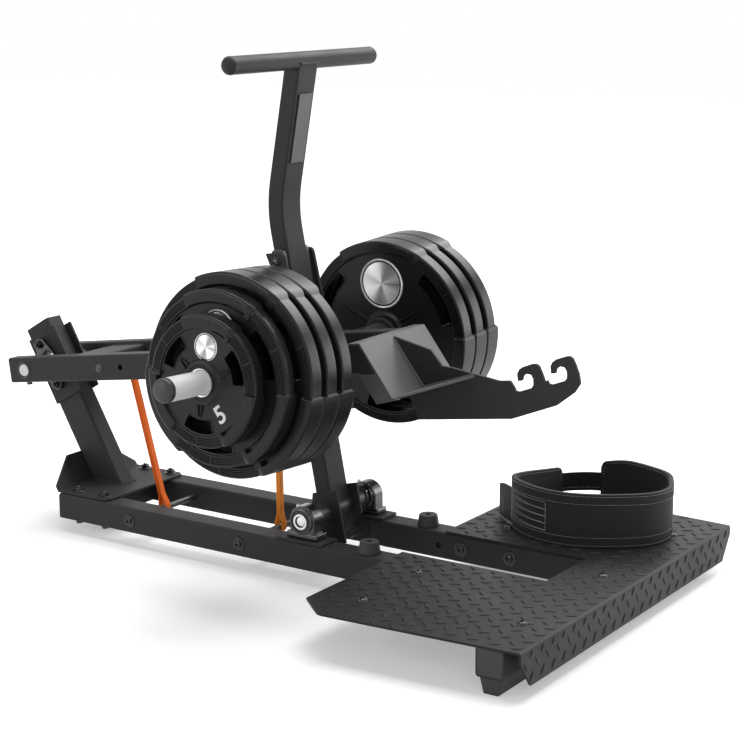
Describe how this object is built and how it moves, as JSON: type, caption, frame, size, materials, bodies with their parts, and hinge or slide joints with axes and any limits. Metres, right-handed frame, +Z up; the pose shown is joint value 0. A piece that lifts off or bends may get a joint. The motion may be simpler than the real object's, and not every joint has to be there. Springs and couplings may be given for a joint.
{
  "type": "belt squat machine",
  "caption": "Free-standing belt squat machine: pivoting arm with weight horns and plates, hook plate, release lever, tread-plate platform, elastic bands and a squat belt.",
  "frame": {"origin": "on the floor under the middle of the machine's bounding box", "axes": "+X runs forward from the leaning post to the standing platform, +Z is up, +Y is the far side"},
  "size_m": [1.6362, 1.1278, 1.1313],
  "materials": {
    "powder_coat": "satin dark grey powder coat",
    "gloss_black": "gloss black enamel on cast housings",
    "black_rubber": "matt black rubber",
    "black_plastic": "moulded black plastic",
    "handle_finish": "satin powder coat with black end caps",
    "brushed_steel": "brushed steel",
    "band_orange": "orange latex band",
    "band_yellow": "yellow-orange latex band",
    "belt_webbing": "black nylon webbing with pale stitching",
    "checker_plate": "powder-coated tread plate with raised teardrops",
    "plate_rubber": "black rubber coating, ribbed rim"
  },
  "bodies": {
    "base_frame": {"rail_near": "powder_coat", "rail_far": "powder_coat", "base_plate": "powder_coat", "post": "powder_coat", "pivot_bearing_near": "gloss_black", "pivot_bearing_far": "gloss_black", "rear_cross_tube": "powder_coat", "front_cross_tube": "powder_coat", "rear_foot": "black_rubber", "front_foot": "black_rubber", "base_band_peg_rear": "black_plastic", "base_band_peg_front": "black_plastic", "lever_stop_pin": "gloss_black", "pillow_block_near": "gloss_black", "pillow_block_far": "gloss_black", "bumper_near": "black_rubber", "bumper_far": "black_rubber", "platform": "checker_plate", "outrigger_near": "powder_coat", "outrigger_far": "powder_coat", "elastic_band_rear": "band_orange", "elastic_band_front": "band_yellow"},
    "lever_arm": {"arm_tube_near": "powder_coat", "arm_tube_far": "powder_coat", "arm_rear_cross_member": "powder_coat", "arm_middle_beam": "powder_coat", "pivot_shaft": "brushed_steel", "arm_band_peg_rear": "black_plastic", "arm_band_peg_front": "black_plastic", "weight_horn_near": "powder_coat", "weight_horn_far": "powder_coat", "horn_sleeve_near": "brushed_steel", "horn_sleeve_far": "brushed_steel", "horn_cap_near": "black_plastic", "horn_cap_far": "black_plastic", "hook_plate": "powder_coat", "front_bracket": "powder_coat", "guide_cheek_near": "powder_coat", "guide_cheek_far": "powder_coat", "guide_pad_near": "black_plastic", "guide_pad_far": "black_plastic", "catch_roller": "brushed_steel"},
    "release_lever": {"lever_tube": "powder_coat", "lever_handle": "handle_finish", "lever_shaft": "powder_coat", "lever_cheek_near": "powder_coat", "lever_cheek_far": "powder_coat", "catch_block": "powder_coat", "lever_badge": "black_plastic"},
    "plate_large_1_near": {"weight_plate_large_1_near": "plate_rubber"},
    "plate_large_2_near": {"weight_plate_large_2_near": "plate_rubber"},
    "plate_large_3_near": {"weight_plate_large_3_near": "plate_rubber"},
    "plate_middle_near": {"weight_plate_middle_near": "plate_rubber"},
    "plate_small_near": {"weight_plate_small_near": "plate_rubber"},
    "plate_large_1_far": {"weight_plate_large_1_far": "plate_rubber"},
    "plate_large_2_far": {"weight_plate_large_2_far": "plate_rubber"},
    "plate_large_3_far": {"weight_plate_large_3_far": "plate_rubber"},
    "plate_middle_far": {"weight_plate_middle_far": "plate_rubber"},
    "plate_small_far": {"weight_plate_small_far": "plate_rubber"},
    "belt": {"squat_belt": "belt_webbing"}
  },
  "joints": [
    {"name": "arm_pivot", "type": "hinge", "parent": "base_frame", "child": "lever_arm", "pos_m": [-0.73183, 0, 0.37336], "axis": [0, -1, 0], "range_deg": [0, 10], "deforming": ["elastic_band_rear", "elastic_band_front"]},
    {"name": "release_lever_pivot", "type": "hinge", "parent": "base_frame", "child": "release_lever", "pos_m": [0.08757, 0, 0.139], "axis": [0, 1, 0], "range_deg": [0, 14]},
    {"name": "slide_large_1_near", "type": "slide", "parent": "lever_arm", "child": "plate_large_1_near", "axis": [-0.0067, -0.9988, 0.0475], "range_m": [0, 0.022]},
    {"name": "slide_large_2_near", "type": "slide", "parent": "plate_large_1_near", "child": "plate_large_2_near", "axis": [-0.0067, -0.9988, 0.0475], "range_m": [0, 0.022]},
    {"name": "slide_large_3_near", "type": "slide", "parent": "plate_large_2_near", "child": "plate_large_3_near", "axis": [-0.0067, -0.9988, 0.0475], "range_m": [0, 0.022]},
    {"name": "slide_middle_near", "type": "slide", "parent": "plate_large_3_near", "child": "plate_middle_near", "axis": [-0.0067, -0.9988, 0.0475], "range_m": [0, 0.022]},
    {"name": "slide_small_near", "type": "slide", "parent": "plate_middle_near", "child": "plate_small_near", "axis": [-0.0067, -0.9988, 0.0475], "range_m": [0, 0.022]},
    {"name": "slide_large_1_far", "type": "slide", "parent": "lever_arm", "child": "plate_large_1_far", "axis": [-0.0067, 0.9988, 0.0475], "range_m": [0, 0.022]},
    {"name": "slide_large_2_far", "type": "slide", "parent": "plate_large_1_far", "child": "plate_large_2_far", "axis": [-0.0067, 0.9988, 0.0475], "range_m": [0, 0.022]},
    {"name": "slide_large_3_far", "type": "slide", "parent": "plate_large_2_far", "child": "plate_large_3_far", "axis": [-0.0067, 0.9988, 0.0475], "range_m": [0, 0.022]},
    {"name": "slide_middle_far", "type": "slide", "parent": "plate_large_3_far", "child": "plate_middle_far", "axis": [-0.0067, 0.9988, 0.0475], "range_m": [0, 0.022]},
    {"name": "slide_small_far", "type": "slide", "parent": "plate_middle_far", "child": "plate_small_far", "axis": [-0.0067, 0.9988, 0.0475], "range_m": [0, 0.022]},
    {"name": "belt_lift", "type": "slide", "parent": "base_frame", "child": "belt", "axis": [0, 0, 1], "range_m": [0, 0.3]}
  ]
}
